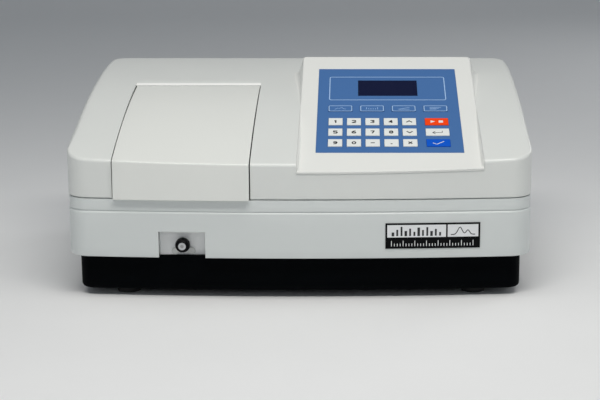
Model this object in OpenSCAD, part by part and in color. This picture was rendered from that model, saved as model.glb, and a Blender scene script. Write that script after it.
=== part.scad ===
// Benchtop ultraviolet and visible spectrophotometer with a lidded sample compartment.
// Millimetres, +Z up, front faces -Y. The origin is on the bench, under the middle of the box.

/* [Housing] */
// Width of the two covers
housing_w = 480; // [470:1:490]
// How far the front bows out at the middle
front_bow = 12; // [8:1:14]
// Plan radius of the front corners
front_corner_r = 25; // [20:1:30]
// Plan radius of the rear corners
rear_corner_r = 20; // [15:1:25]
// Wall of the plastic covers
wall = 3; // [2.5:0.1:3.5]
// Height of the seam between the covers
seam_z = 107; // [106:0.5:108]
// Height of the moulded step under the seam
step_z = 93; // [90:0.5:96]
// Height of the highest line of the crowned top
crown_z = 208; // [207:0.5:211]
// Radius of the crowned top, seen from the side
crown_r = 1054; // [1000:1:1100]

/* [Base] */
// How far the base pan stands in from the covers
base_inset = 10; // [9:0.5:11]
// Height of the rubber feet
foot_h = 7.5; // [6:0.5:10]
// Sheet metal of the base pan
sheet = 2; // [1.5:0.1:2]

/* [Console] */
// Width of the keypad console
console_w = 190; // [188:1:192]
// Slope of the keypad console, in degrees
console_slope = 19.6; // [19:0.1:20]
// Length of the console along its slope
console_len = 255.5; // [250:0.5:258]
// How far a key travels
key_travel = 0.5; // [0.3:0.1:0.6]

/* [Sample compartment] */
// Width of the lid
lid_w = 139.6; // [138:0.1:140]
// Gap round the lid
lid_gap = 0.7; // [0.5:0.1:0.9]
// Distance between cuvettes in the holder
cuvette_pitch = 15; // [15:0.1:15.5]
// Inside width of a cuvette place, for a standard 12.5 mm cell
cuvette_slot = 12.8; // [12.7:0.05:12.9]

/* [Hidden] */
NUMBER_KEYS = ["key_1", "key_2", "key_3", "key_4", "key_5", "key_6", "key_7", "key_8", "key_9", "key_0"];
SIGN_KEYS = ["key_minus", "key_point", "key_up", "key_down", "key_clear"];
WIDE_KEYS = ["key_start", "key_return", "key_enter"];
FUNCTION_KEYS = ["function_key_1", "function_key_2", "function_key_3", "function_key_4"];
$fn = 64;

// Front-to-back layout of the covers.
front_y = -170;
rear_y = 170;
bow_r = (housing_w * housing_w / 4 + front_bow * front_bow) / (2 * front_bow);
crown_y = 192.5;
crown_axis_z = crown_z - crown_r;
tall = 260;

// Heights of the base and the covers.
base_z = foot_h;
rim_z = 45;
flange_t = 1.5;
flange_w = 8;
lip_t = 2.5;
lip_w = 12;
seam_gap = 0.8;
band_inset = 0.7;
foot_x = 182;
foot_y = 128;
foot_r = 14;
boss_x = 208;
boss_y = 126;
boss_r = 5;
boss_top = 60;
screw_r = 2;
screw_head_r = 3.9;
screw_head_h = 2.4;
vent_count = 14;
vent_pitch = 10;
vent_w = 3.2;
vent_y0 = 40;
vent_y1 = 100;

// The keypad console: its own frame starts at the front lip and rises along the slope.
console_x = 93.3;
console_y = -172;
console_z = 136;
plate_t = 2.5;
lip_out = 2;
skirt_run = 0.4;
skirt_depth = 45;
console_reach = 30;
slot_v = 158;

// Keypad layout, along the console from its centre line and its front lip.
overlay_w = 153.7;
overlay_v = 38.7;
overlay_l = 185.8;
overlay_t = 0.6;
key_w = 14.8;
wide_key_w = 24.8;
function_key_w = 25.9;
function_key_l = 12.8;
key_u = -56.9;
key_pitch_u = 19.65;
key_v = 58.3;
key_pitch_v = 22.4;
wide_key_u = 51.1;
function_u = -52;
function_pitch = 34.35;
function_v = 132;
key_gap = 0.25;
key_proud = 0.5;
flange_key = 1;
key_flange_t = 1;
stem_r = 2;
stem_end = -4.1;
dome_r = 3.5;
dome_t = 0.9;
dome_gap = 0.2;
board_n = stem_end - key_travel - dome_gap - dome_t;
display_w = 65.6;
display_l = 36.1;
display_v = 179.2;

// Sample compartment, lid and hinge.
lid_x = -120.2;
lid_proud = 2.5;
lid_lean = 3.8;
lid_edge_z = 142;
lid_back_gap = 0.3;
lid_rear = 31;
lid_bottom = 106.3;
lid_t = 3;
lid_crown_y = 122;
lid_crown_z = 198.5;
lid_crown_r = 820;
lid_axis_z = lid_crown_z - lid_crown_r;
hinge_y = 26;
hinge_z = 184.2;
hinge_r = 2;
hinge_boss_r = 4.5;
hinge_sweep_r = 11.6;
well_x0 = -184;
well_x1 = -56;
well_y0 = -148;
well_y1 = 20;
well_z0 = 48;
well_t = 2;
sill_z = 105;
beam_y = -66;
beam_z = 78;
beam_r = 8;

// Pull rod and its finger pocket.
rod_x = -120.5;
rod_z = 57;
rod_r = 3;
knob_r = 7.65;
knob_y = -160;
pocket_w = 48;
pocket_top = 72.4;
pocket_y = -152;
pocket_t = 2.5;
guide_screw_z = 49;
guide_screw_gap = 16.5;

// Cuvette holder on its rail.
rail_w = 20;
rail_h = 3;
holder_w = 18;
holder_top = 100;
holder_floor = 63;
slots = 4;

// Rear connectors, on a plate behind a window in the lower cover.
window_x0 = -190;
window_x1 = -10;
window_z0 = 56;
window_z1 = 97;
panel_y = 164;
inlet_x = -150;
switch_x = -96;
port_x = -48;
connector_z = 78;
fan_x = 150;
fan_z = 155;
fan_size = 60;
fan_bore = 28;
rear_most = 172.5;

// Optical bench and what stands on it.
bench_z = 30;
bench_t = 8;
deck_z = bench_z + bench_t;
mono_x0 = -28;
mono_x1 = 125;
mono_y0 = -110;
mono_y1 = 42;
mono_top = 98;
mono_t = 4;
grating_x = 95;
motor_size = 28;
motor_h = 24;
wheel_x = 28;
wheel_y = 46;
wheel_z = 98;
wheel_r = 25;
filter_ring = 20;
filter_r = 5;
source_y = 92.5;
mirror_x = 75;

function arc(cx, cy, r, a0, a1, n, first = 0, last = 0) =
    [for (i = [first : n - last]) let (a = a0 + (a1 - a0) * i / n) [cx + r * cos(a), cy + r * sin(a)]];

// Plan outline of the covers, moved in by inset: a bowed front between rounded corners.
function plan_points(inset) =
    let (half = housing_w / 2 - inset, r = bow_r - inset, bow_y = front_y + bow_r,
         rc = front_corner_r - inset / 2, cx = half - rc, cy = bow_y - sqrt(pow(r - rc, 2) - cx * cx),
         a = asin(cx / (r - rc)), rr = rear_corner_r - inset / 2, ry = rear_y - inset - rr)
    concat(arc(0, bow_y, r, 270 - a, 270 + a, 24),
           arc(cx, cy, rc, 270 + a, 360, 8, 1),
           arc(half - rr, ry, rr, 0, 90, 6),
           arc(rr - half, ry, rr, 90, 180, 6),
           arc(-cx, cy, rc, 180, 270 - a, 8, 0, 1));

module plan(inset = 0, z0 = 0, z1 = tall)
    translate([0, 0, z0]) linear_extrude(z1 - z0) polygon(plan_points(inset));

// Everything under the crowned top, moved down by drop.
module under_crown(drop = 0, y = crown_y, z = crown_axis_z, r = crown_r)
    translate([-housing_w, y, z]) rotate([0, 90, 0]) cylinder(r = r - drop, h = 2 * housing_w, $fn = 256);

module under_lid(drop = 0) under_crown(drop, lid_crown_y, lid_axis_z, lid_crown_r);

module box(x0, x1, y0, y1, z0, z1) translate([x0, y0, z0]) cube([x1 - x0, y1 - y0, z1 - z0]);

module rod_y(x, z, r, y0, y1) translate([x, y0, z]) rotate([-90, 0, 0]) cylinder(r = r, h = y1 - y0);

module rod_x(y, z, r, x0, x1) translate([x0, y, z]) rotate([0, 90, 0]) cylinder(r = r, h = x1 - x0);

module post(x, y, r, z0, z1) translate([x, y, z0]) cylinder(r = r, h = z1 - z0);

module at_feet() for (x = [-foot_x, foot_x], y = [-foot_y, foot_y]) translate([x, y, 0]) children();

module at_bosses() for (x = [-boss_x, boss_x], y = [-boss_y, boss_y]) translate([x, y, 0]) children();

// A pan-head screw whose head sits on z = 0 and points down, with its shank going up.
module pan_screw(shank) {
    translate([0, 0, -screw_head_h]) cylinder(r = screw_head_r, h = screw_head_h);
    cylinder(r = screw_r, h = shank);
}

/* Base */

module base_pan() color([0.03, 0.03, 0.035]) difference() {
    plan(base_inset, base_z, rim_z);
    plan(base_inset + sheet, base_z + sheet, rim_z - flange_t);
    plan(base_inset + flange_w, base_z + sheet, rim_z + 1);
    at_feet() cylinder(r = screw_r + 0.1, h = 2 * base_z);
    at_bosses() cylinder(r = screw_r + 0.1, h = 2 * base_z);
    for (i = [0 : vent_count - 1]) translate([(i - (vent_count - 1) / 2) * vent_pitch, 0, 0])
        box(-vent_w / 2, vent_w / 2, vent_y0, vent_y1, 0, 2 * base_z);
}

// Soft feet with a deep recess for the screw head.
module rubber_feet() color([0.06, 0.06, 0.06]) at_feet() difference() {
    cylinder(r1 = foot_r - 2, r2 = foot_r, h = foot_h);
    translate([0, 0, -1]) cylinder(r = screw_head_r + 0.6, h = foot_h / 2 + 1);
    cylinder(r = screw_r + 0.1, h = foot_h + 1);
}

module case_screws() color([0.7, 0.7, 0.7]) {
    at_feet() translate([0, 0, foot_h / 2]) pan_screw(foot_h / 2 + 6);
    at_bosses() translate([0, 0, base_z]) pan_screw(18);
    for (x = [window_x0 + 8, window_x1 - 8], z = [window_z0 + 8, window_z1 - 8])
        translate([x, panel_y + sheet, z]) rotate([90, 0, 0]) pan_screw(6);
}

/* Covers */

module rod_holes(y0, y1, rod_hole, screw_hole) {
    rod_y(rod_x, rod_z, rod_hole, y0, y1);
    for (s = [-1, 1]) rod_y(rod_x + s * guide_screw_gap / 2, guide_screw_z, screw_hole, y0, y1);
}

module lower_cover() color([0.8, 0.81, 0.8]) difference() {
    union() {
        difference() {
            union() {
                plan(0, rim_z, step_z);
                plan(band_inset, step_z, seam_z - seam_gap);
            }
            plan(wall + band_inset, rim_z + lip_t, seam_z);
            plan(lip_w, rim_z - 1, seam_z);
        }
        difference() {
            plan(wall + 0.3, seam_z - 6, seam_z + 5);
            plan(wall + 1.8, seam_z - 7, seam_z + 6);
            lid_opening();
        }
        intersection() {
            box(rod_x - pocket_w / 2 - pocket_t, rod_x + pocket_w / 2 + pocket_t,
                front_y, pocket_y + pocket_t, rim_z, pocket_top + pocket_t);
            plan(0.5);
        }
        at_bosses() translate([0, 0, base_z + sheet]) cylinder(r = boss_r, h = boss_top - base_z - sheet);
        for (x = [-1, 1], y = [-1, 1]) translate([x * (boss_x + 15), y * boss_y, rim_z + lip_t + 6])
            cube([24, 3, 13], center = true);
    }
    box(rod_x - pocket_w / 2, rod_x + pocket_w / 2, front_y - 5, pocket_y, 0, pocket_top);
    rod_holes(pocket_y - 1, pocket_y + pocket_t + 1, rod_r + 1, screw_r + 0.15);
    at_bosses() translate([0, 0, 2]) cylinder(r = screw_r + 0.1, h = base_z + 24);
    box(window_x0, window_x1, rear_y - wall - 1, rear_y + 1, window_z0, window_z1);
}

// Side view of the lid's opening: its rear edge leans back over the hinge.
module lid_opening() {
    half = lid_w / 2 + lid_gap;
    edge_y = lid_rear + lid_gap;
    edge_z = lid_axis_z + sqrt(pow(lid_crown_r, 2) - pow(edge_y - lid_crown_y, 2)) + 0.6;
    rise = 40;
    translate([lid_x - half, 0, 0]) rotate([90, 0, 90]) linear_extrude(2 * half)
        polygon([[-tall, seam_z - 2], [edge_y, seam_z - 2], [edge_y, edge_z],
                 [edge_y + rise, edge_z + rise], [-tall, edge_z + rise]]);
}

module on_console() translate([console_x, console_y, console_z]) rotate([console_slope, 0, 0]) children();

// A block in the console's frame: u to each side of the centre line, v up the slope, n out of the face.
module console_block(u, v0, v1, n0, n1) translate([-u, v0, n0]) cube([2 * u, v1 - v0, n1 - n0]);

module top_cover() color([0.82, 0.83, 0.82]) difference() {
    union() {
        difference() {
            intersection() {
                plan(0, seam_z);
                under_crown();
            }
            intersection() {
                plan(wall, seam_z - 1);
                under_crown(wall);
            }
        }
        intersection() {
            plan(1, seam_z);
            under_crown(1);
            union() {
                box(lid_x - lid_w / 2 - 6, lid_x + lid_w / 2 + 6, lid_rear, lid_rear + 10, 188.9, tall);
                on_console() console_block(console_w / 2 + 3.3, -20, slot_v, -6, 40);
            }
        }
    }
    lid_opening();
    rod_x(hinge_y, hinge_z, hinge_sweep_r, lid_x - lid_w / 2 - lid_gap, lid_x + lid_w / 2 + lid_gap);
    on_console() {
        console_block(console_w / 2 + 0.3, -console_reach, slot_v, -plate_t, 60);
        console_block(console_w / 2 - 5, 16, 246, -60, 60);
    }
    rod_y(fan_x, fan_z, fan_bore, rear_y - 8, rear_y + 1);
    for (x = [-1, 1], z = [-1, 1])
        rod_y(fan_x + x * fan_size * 0.42, fan_z + z * fan_size * 0.42, 1.7, rear_y - 8, rear_y + 1);
}

/* Keypad console */

module skirt(inset, v1) {
    top = console_w / 2 - inset;
    foot = top + skirt_depth * skirt_run;
    translate([0, v1, 0]) rotate([90, 0, 0]) linear_extrude(v1 - 60 + inset)
        polygon([[-foot, -skirt_depth], [foot, -skirt_depth], [top, -inset], [-top, -inset]]);
}

// Runs its children once for each key: [column width, row length] and the place on the console.
module each_key() {
    for (i = [0 : 17]) on_key(i) children();
    for (i = [0 : 3]) on_function_key(i) children();
}

module on_key(i) {
    column = floor(i / 3);
    u = column < 5 ? key_u + key_pitch_u * column : wide_key_u;
    translate([u, key_v + key_pitch_v * (i % 3), 0]) {
        $key_w = column < 5 ? key_w : wide_key_w;
        $key_l = key_w;
        children();
    }
}

module on_function_key(i) translate([function_u + function_pitch * i, function_v, 0]) {
    $key_w = function_key_w;
    $key_l = function_key_l;
    children();
}

module key_block(grow, n0, n1) translate([-$key_w / 2 - grow, -$key_l / 2 - grow, n0])
    cube([$key_w + 2 * grow, $key_l + 2 * grow, n1 - n0]);

module keypad_holes() {
    each_key() key_block(key_gap, -10, 10);
    translate([-display_w / 2, display_v - display_l / 2, -10]) cube([display_w, display_l, 20]);
}

module keypad_console() color([0.88, 0.88, 0.86]) difference() {
    union() {
        difference() {
            on_console() difference() {
                skirt(0, console_len);
                skirt(plate_t, console_len - plate_t);
            }
            under_crown(-0.05);
        }
        intersection() {
            on_console() console_block(console_w / 2, -console_reach, console_len, -plate_t, 0);
            plan(-lip_out);
        }
        intersection() {
            on_console() console_block(console_w / 2 + 2, -console_reach, console_reach, -plate_t, 0);
            plan(-lip_out);
        }
    }
    difference() {
        on_console() console_block(console_w, -console_reach, console_reach, -9, -0.6);
        on_console() console_block(console_w / 2, -console_reach, console_reach, -9, 0);
        plan(-lip_out - 1);
    }
    intersection() {
        on_console() for (s = [-1, 1])
            translate([s * (console_w / 2 + 5.02) - 5, -5, -9]) cube([10, 60, 20]);
        plan(-0.2);
    }
    on_console() {
        console_block(overlay_w / 2 + 0.15, overlay_v - 0.15, overlay_v + overlay_l + 0.15, -overlay_t, 5);
        keypad_holes();
    }
}

module keypad_overlay() color([0.22, 0.4, 0.66]) on_console() difference() {
    console_block(overlay_w / 2, overlay_v, overlay_v + overlay_l, -overlay_t, 0);
    keypad_holes();
}

// A key cap, with the flange that keeps it under the console plate and the stem over its dome switch.
module key() {
    key_block(0, -plate_t - 0.2, key_proud);
    key_block(flange_key, -plate_t - 0.2 - key_flange_t, -plate_t - 0.2);
    translate([0, 0, stem_end]) cylinder(r = stem_r, h = 2);
}

// Keys fill the grid row by row from the top left, and rows count up the slope.
GRID = [["key_9", "key_5", "key_1"], ["key_0", "key_6", "key_2"], ["key_minus", "key_7", "key_3"],
        ["key_point", "key_8", "key_4"], ["key_clear", "key_down", "key_up"],
        ["key_enter", "key_return", "key_start"]];

function key_colour(name) = name == "key_start" ? [0.95, 0.25, 0.08] :
    name == "key_enter" ? [0.0, 0.22, 0.72] : [0.92, 0.93, 0.92];

module display_window() color([0.03, 0.04, 0.12]) on_console()
    translate([0.15 - display_w / 2, display_v - display_l / 2 + 0.15, -plate_t])
        cube([display_w - 0.3, display_l - 0.3, plate_t - 0.3]);

module display_module() color([0.2, 0.35, 0.25]) on_console() {
    translate([-46, display_v - 29, -12]) cube([92, 58, 1.6]);
    translate([-39, display_v - 23, -10.4]) cube([78, 46, 7.6]);
    translate([-34, display_v - 27, -14]) cube([40, 5, 2]);
}

module keypad_board() color([0.1, 0.35, 0.2]) on_console() {
    translate([-72, key_v - 14, board_n - 1.6]) cube([144, 98, 1.6]);
    each_key() translate([0, 0, board_n]) cylinder(r = dome_r, h = dome_t);
    translate([-20, key_v - 10, board_n - 6.6]) cube([40, 8, 5]);
}

/* Sample compartment */

module lid_slab(x0, x1, y0, y1, z0) box(x0, x1, y0, y1, z0, tall);

// Turns the front of the lid about its top edge, so that the flap stands out further at its foot.
module leaning() translate([0, front_y - lid_proud, lid_edge_z]) rotate([-lid_lean, 0, 0])
    translate([0, lid_proud - front_y, -lid_edge_z]) children();

module sample_lid() color([0.84, 0.85, 0.83]) {
    x0 = lid_x - lid_w / 2;
    x1 = lid_x + lid_w / 2;
    difference() {
        union() {
            intersection() {
                difference() {
                    intersection() {
                        leaning() plan(-lid_proud);
                        under_lid();
                    }
                    intersection() {
                        plan(-lid_back_gap);
                        under_lid(lid_t);
                    }
                }
                lid_slab(x0, x1, -tall, lid_rear, lid_bottom);
            }
            intersection() {
                under_lid(1);
                difference() {
                    union() {
                        for (x = [x0 + 1.5, x1 - 4]) box(x, x + 2.5, -158, 14, 50, tall);
                    }
                    under_lid(11);
                }
            }
            for (x = [x0 + 12, x1 - 18]) {
                rod_x(hinge_y, hinge_z, hinge_boss_r, x, x + 6);
                intersection() {
                    box(x, x + 6, hinge_y - hinge_boss_r, hinge_y + hinge_boss_r, hinge_z, tall);
                    under_lid(1);
                }
            }
        }
        rod_x(hinge_y, hinge_z, hinge_r + 0.05, x0 - 1, x1 + 1);
    }
}

module hinge_rod() color([0.75, 0.75, 0.77]) rod_x(hinge_y, hinge_z, hinge_r, lid_x - 62, lid_x + 62);

// Black tub with a light-trap flange round its top, ears for the hinge rod and the carriage rail.
module sample_well() color([0.05, 0.05, 0.055]) difference() {
    union() {
        intersection() {
            difference() {
                box(well_x0, well_x1, well_y0, well_y1, well_z0, tall);
                box(well_x0 + well_t, well_x1 - well_t, well_y0 + well_t, well_y1 - well_t,
                    well_z0 + well_t, tall);
                box(well_x0 - 1, well_x1 + 1, -tall, well_y0 + well_t + 1, sill_z, tall);
                box(well_x0 - 1, well_x1 + 1, well_y1 - well_t - 1, tall, 170, tall);
            }
            under_lid(lid_t + 1);
        }
        difference() {
            intersection() {
                box(well_x0 - 12, well_x1 + 12, -140, well_y1, well_z0, tall);
                under_lid(14);
            }
            under_lid(16);
            box(well_x0 + well_t, well_x1 - well_t, -tall, well_y1 - well_t, 0, tall);
            box(-tall, tall, 0, tall, 170, tall);
        }
        intersection() {
            box(well_x0 - 4, well_x1 + 4, -tall, well_y0 + well_t, sill_z - 2.5, sill_z);
            plan(wall + 2.2);
        }
        box(rod_x - 14, rod_x + 14, well_y0, well_y0 + 10, well_z0 - 4, 64);
        box(rod_x - rail_w / 2, rod_x + rail_w / 2, well_y0 + 10, well_y1 - 6,
            well_z0, well_z0 + well_t + rail_h);
        for (x = [lid_x - 48, lid_x + 42]) {
            rod_x(hinge_y, hinge_z, hinge_boss_r, x, x + 6);
            box(x, x + 6, well_y1 - well_t, hinge_y + hinge_boss_r, 150, hinge_z);
        }
        for (x = [well_x0 + 12, well_x1 - 12], y = [well_y0 + 14, well_y1 - 14])
            post(x, y, 5, deck_z, well_z0 + 1);
    }
    rod_x(hinge_y, hinge_z, hinge_r + 0.02, lid_x - 70, lid_x + 70);
    rod_x(beam_y, beam_z, beam_r, well_x0 - 5, well_x1 + 5);
    rod_holes(well_y0 - 1, well_y0 + 12, rod_r + 0.06, screw_r + 0.1);
}

module guide_screws() color([0.62, 0.63, 0.63]) for (s = [-1, 1])
    translate([rod_x + s * guide_screw_gap / 2, pocket_y, guide_screw_z]) rotate([-90, 0, 0]) pan_screw(12);

// Carriage with four places for square cells, windows for the beam and a channel over the rail.
module cuvette_holder() color([0.12, 0.12, 0.13]) {
    length = slots * cuvette_pitch + 2;
    y0 = beam_y - cuvette_pitch / 2 - 1;
    floor_z = well_z0 + well_t;
    difference() {
        union() {
            box(rod_x - 17.5, rod_x + 17.5, y0 - 1.5, y0 + length + 1.5, floor_z + 0.3, holder_floor - 1);
            box(rod_x - holder_w / 2, rod_x + holder_w / 2, y0, y0 + length, holder_floor - 1, holder_top);
        }
        box(rod_x - rail_w / 2 - 0.3, rod_x + rail_w / 2 + 0.3, y0 - 5, y0 + length + 5,
            0, floor_z + rail_h + 0.3);
        for (i = [0 : slots - 1]) translate([rod_x, beam_y + i * cuvette_pitch, 0]) {
            box(-cuvette_slot / 2, cuvette_slot / 2, -cuvette_slot / 2, cuvette_slot / 2,
                holder_floor, tall);
            box(-holder_w, holder_w, -3, 3, beam_z - 8, beam_z + 8);
        }
        rod_y(rod_x, rod_z, rod_r + 0.02, y0 - 5, y0 + 8);
    }
}

module pull_rod() color([0.75, 0.75, 0.76]) {
    rod_y(rod_x, rod_z, rod_r, knob_y + 1, beam_y - 3);
    rod_y(rod_x, rod_z, 3.9, knob_y - 6.7, knob_y - 5);
}

module rod_knob() color([0.02, 0.02, 0.02]) difference() {
    translate([rod_x, knob_y, rod_z]) rotate([-90, 0, 0]) {
        translate([0, 0, -6.5]) cylinder(r1 = 5, r2 = 6.9, h = 2);
        translate([0, 0, -4.5]) cylinder(r1 = 6.9, r2 = knob_r, h = 3);
        translate([0, 0, -1.5]) cylinder(r = knob_r, h = 3);
        translate([0, 0, 1.5]) cylinder(r1 = knob_r, r2 = 5.5, h = 5);
    }
    rod_y(rod_x, rod_z, 3.92, knob_y - 8, knob_y - 5);
    rod_y(rod_x, rod_z, rod_r + 0.02, knob_y + 1, knob_y + 10);
}

module nameplate() color([0.02, 0.02, 0.02]) intersection() {
    difference() {
        plan(-0.8, 0, tall);
        plan(0, -1, tall);
    }
    box(88.3, 185.7, -tall, 0, 55.3, 82);
}

/* Rear panel, connectors and fan */

module rear_panel() color([0.1, 0.1, 0.1]) difference() {
    box(window_x0 - 5, window_x1 + 5, panel_y, panel_y + sheet, window_z0 - 4, window_z1 + 3.5);
    box(inlet_x - 14.2, inlet_x + 14.2, 0, tall, connector_z - 10.7, connector_z + 10.7);
    box(switch_x - 6.7, switch_x + 6.7, 0, tall, connector_z - 9.7, connector_z + 9.7);
    box(port_x - 10.2, port_x + 10.2, 0, tall, connector_z - 5.7, connector_z + 5.7);
    for (x = [window_x0 + 8, window_x1 - 8], z = [window_z0 + 8, window_z1 - 8])
        rod_y(x, z, screw_r + 0.1, panel_y - 2, panel_y + 4);
}

module power_inlet() color([0.04, 0.04, 0.04]) {
    face = panel_y + sheet;
    difference() {
        union() {
            box(inlet_x - 24, inlet_x + 24, face, face + 2.5, connector_z - 12, connector_z + 12);
            box(inlet_x - 14, inlet_x + 14, face - 17, face + 1, connector_z - 10.5, connector_z + 10.5);
        }
        box(inlet_x - 12, inlet_x + 12, face - 14, face + 5, connector_z - 8, connector_z + 8);
    }
    for (p = [[-7, 1], [7, 1], [0, 5]])
        box(inlet_x + p[0] - 1, inlet_x + p[0] + 1, face - 15, face - 1,
            connector_z + p[1] - 2, connector_z + p[1] + 2);
}

module switch_frame() color([0.05, 0.05, 0.05]) difference() {
    union() {
        box(switch_x - 8, switch_x + 8, panel_y + sheet, panel_y + sheet + 2,
            connector_z - 11, connector_z + 11);
        box(switch_x - 6.5, switch_x + 6.5, panel_y - 12, panel_y + sheet + 1,
            connector_z - 9.5, connector_z + 9.5);
    }
    box(switch_x - 5.6, switch_x + 5.6, panel_y - 10, tall, connector_z - 8.8, connector_z + 8.8);
}

module switch_rocker() color([0.09, 0.09, 0.1]) translate([switch_x, panel_y + 1, connector_z]) {
    rotate([-8, 0, 0]) difference() {
        translate([-5.3, -2.5, -8.2]) cube([10.6, 6, 16.4]);
        translate([0, 27, 0]) rotate([0, 90, 0]) cylinder(r = 24.6, h = 20, center = true);
    }
    translate([-5.5, 0, 0]) rotate([0, 90, 0]) cylinder(r = 1.2, h = 11);
}

module data_port() color([0.6, 0.6, 0.6]) {
    face = panel_y + sheet;
    box(port_x - 15.5, port_x + 15.5, face, face + 1, connector_z - 6.2, connector_z + 6.2);
    box(port_x - 10, port_x + 10, face - 10, face, connector_z - 5.5, connector_z + 5.5);
    translate([port_x, rear_most, connector_z]) rotate([90, 0, 0]) linear_extrude(rear_most - face)
        polygon([[-8.4, 4], [8.4, 4], [7, -4], [-7, -4]]);
    for (s = [-1, 1]) rod_y(port_x + s * 12.5, connector_z, 2.4, face, rear_most - 1);
}

module fan_frame() color([0.04, 0.04, 0.045]) {
    face = rear_y - wall;
    difference() {
        translate([fan_x - fan_size / 2, face - 20, fan_z - fan_size / 2]) cube([fan_size, 20, fan_size]);
        rod_y(fan_x, fan_z, fan_bore, face - 21, face + 1);
        for (x = [-1, 1], z = [-1, 1])
            rod_y(fan_x + x * fan_size * 0.42, fan_z + z * fan_size * 0.42, 1.7, face - 21, face + 1);
    }
    difference() {
        union() {
            rod_y(fan_x, fan_z, 13, face - 20, face - 17.5);
            for (a = [30, 150, 270]) translate([fan_x, face - 18.75, fan_z]) rotate([0, a, 0])
                translate([0, -1.25, -2]) cube([fan_bore + 1, 2.5, 4]);
        }
        rod_y(fan_x, fan_z, 1.56, face - 21, face - 10);
    }
}

module fan_rotor() color([0.07, 0.07, 0.08]) {
    face = rear_y - wall;
    rod_y(fan_x, fan_z, 12, face - 16.5, face - 3);
    rod_y(fan_x, fan_z, 1.5, face - 19.5, face - 16);
    for (i = [0 : 6]) translate([fan_x, face - 9.75, fan_z]) rotate([0, i * 360 / 7, 0])
        rotate([35, 0, 0]) translate([10, -0.75, -7]) cube([16.4, 1.5, 14]);
}

module fan_guard() color([0.7, 0.7, 0.7]) {
    wire = (rear_most - rear_y) / 2;
    translate([fan_x, rear_y + wire, fan_z]) rotate([90, 0, 0]) {
        for (r = [9, 17, 25]) difference() {
            cylinder(r = r + wire, h = 2 * wire, center = true);
            cylinder(r = r - wire, h = 4 * wire, center = true);
        }
        for (a = [45, 135]) rotate([0, 0, a]) cube([70, 2 * wire, 1.6 * wire], center = true);
        for (x = [-1, 1], y = [-1, 1]) translate([x * fan_size * 0.42, y * fan_size * 0.42, -wire])
            cylinder(r = 3.2, h = 1.8 * wire);
    }
}

/* Optics and electronics inside */

module optical_bench() color([0.55, 0.56, 0.57]) difference() {
    union() {
        box(-225, 205, -140, 14, bench_z, deck_z);
        box(-30, 205, 13, 150, bench_z, deck_z);
        for (p = [[-190, -100], [-190, -10], [190, -100], [190, 120], [0, -60], [0, 130]])
            post(p[0], p[1], 7, base_z + sheet, bench_z + 1);
    }
    at_bosses() cylinder(r = boss_r + 2, h = tall);
}

// Light-tight box with its lid, an exit port towards the sample and an entrance port at the back.
module monochromator() color([0.1, 0.1, 0.11]) difference() {
    union() {
        difference() {
            box(mono_x0, mono_x1, mono_y0, mono_y1, deck_z, mono_top);
            box(mono_x0 + mono_t, mono_x1 - mono_t, mono_y0 + mono_t, mono_y1 - mono_t, deck_z + mono_t,
                mono_top - mono_t);
        }
        rod_x(beam_y, beam_z, 11, well_x1 + 1, mono_x0 + 1);
    }
    rod_x(beam_y, beam_z, beam_r, well_x1, mono_x0 + mono_t + 1);
    rod_y(wheel_x + 3, beam_z, 6, mono_y1 - mono_t - 1, mono_y1 + 1);
    post(grating_x, beam_y, 3.2, mono_top - mono_t - 1, mono_top + 1);
}

// Grating on its turntable, hung from the motor shaft.
module grating_table() color([0.5, 0.52, 0.6]) translate([grating_x, beam_y, 0]) {
    post(0, 0, 2.5, mono_top - mono_t - 7, mono_top + 2);
    post(0, 0, 16, mono_top - mono_t - 10, mono_top - mono_t - 6);
    rotate([0, 0, 30]) translate([-4, -13, 60]) cube([8, 26, mono_top - mono_t - 69]);
}

module stepper_motors() color([0.25, 0.25, 0.27]) {
    difference() {
        translate([grating_x - motor_size / 2, beam_y - motor_size / 2, mono_top])
            cube([motor_size, motor_size, motor_h]);
        post(grating_x, beam_y, 2.55, mono_top - 1, mono_top + 3);
    }
    difference() {
        translate([wheel_x - motor_size / 2, wheel_y + 8, wheel_z - motor_size / 2])
            cube([motor_size, motor_h, motor_size]);
        rod_y(wheel_x, wheel_z, 2.55, wheel_y, wheel_y + 11);
    }
}

module filter_wheel() color([0.14, 0.14, 0.15]) {
    difference() {
        rod_y(wheel_x, wheel_z, wheel_r, wheel_y, wheel_y + 3);
        for (a = [0 : 60 : 300])
            rod_y(wheel_x + filter_ring * sin(a), wheel_z + filter_ring * cos(a), filter_r - 1,
                wheel_y - 1, wheel_y + 4);
    }
    rod_y(wheel_x, wheel_z, 2.5, wheel_y + 3, wheel_y + 10);
}

// Lens in front of the sample, exit and entrance slit plates, and the condenser mirror.
module fixed_optics() color([0.7, 0.75, 0.8]) {
    rod_x(beam_y, beam_z, beam_r - 0.05, -34, -30);
    difference() {
        translate([mono_x0 + mono_t, beam_y - 10, beam_z - 10]) cube([1, 20, 20]);
        translate([mono_x0 + mono_t - 1, beam_y - 0.5, beam_z - 4]) cube([3, 1, 8]);
    }
    difference() {
        translate([wheel_x - 7, mono_y1 - mono_t - 1, beam_z - 10]) cube([20, 1, 20]);
        translate([wheel_x + 2.5, mono_y1 - mono_t - 2, beam_z - 4]) cube([1, 3, 8]);
    }
    translate([3.5, source_y, 0]) rotate([0, 0, -60]) {
        translate([-16, 0, deck_z]) cube([32, 10, beam_z + 18 - deck_z]);
    }
}

module lamp_house() color([0.45, 0.46, 0.47]) {
    difference() {
        box(50, 175, 62, 145, deck_z, 118);
        box(53, 172, 65, 142, deck_z + 3, 115);
        box(45, 60, source_y - 10, source_y + 10, beam_z - 14, beam_z + 14);
        for (x = [65 : 12 : 160]) box(x, x + 5, 75, 132, 110, 120);
    }
}

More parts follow.
